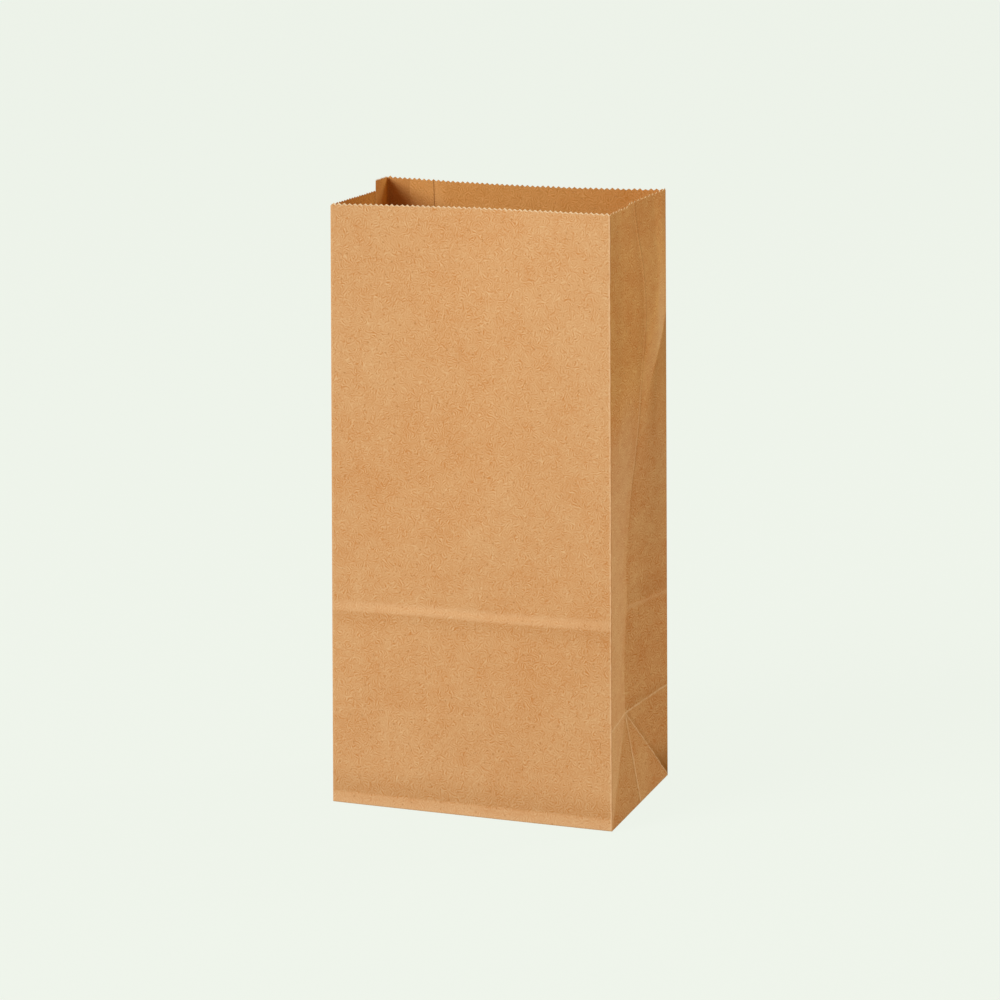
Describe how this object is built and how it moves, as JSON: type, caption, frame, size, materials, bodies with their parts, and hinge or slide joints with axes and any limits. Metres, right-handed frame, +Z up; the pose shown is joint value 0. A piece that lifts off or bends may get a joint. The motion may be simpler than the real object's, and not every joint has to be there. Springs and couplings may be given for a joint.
{
  "type": "flat-bottom paper bag",
  "caption": "Kraft paper bag standing open, with folded side gussets, a tucked and glued flat bottom and a pinked mouth, for holding dry goods.",
  "frame": {"origin": "centre of the bounding box at the surface the bag stands on", "axes": "+X along the front panel's width, to the right seen from the front; -Y out of the front panel; +Z up, out of the mouth"},
  "size_m": [0.1595, 0.1043, 0.3233],
  "materials": {
    "kraft_paper": "matte unbleached kraft"
  },
  "bodies": {
    "root": {"paper_bag": "kraft_paper"}
  },
  "joints": []
}
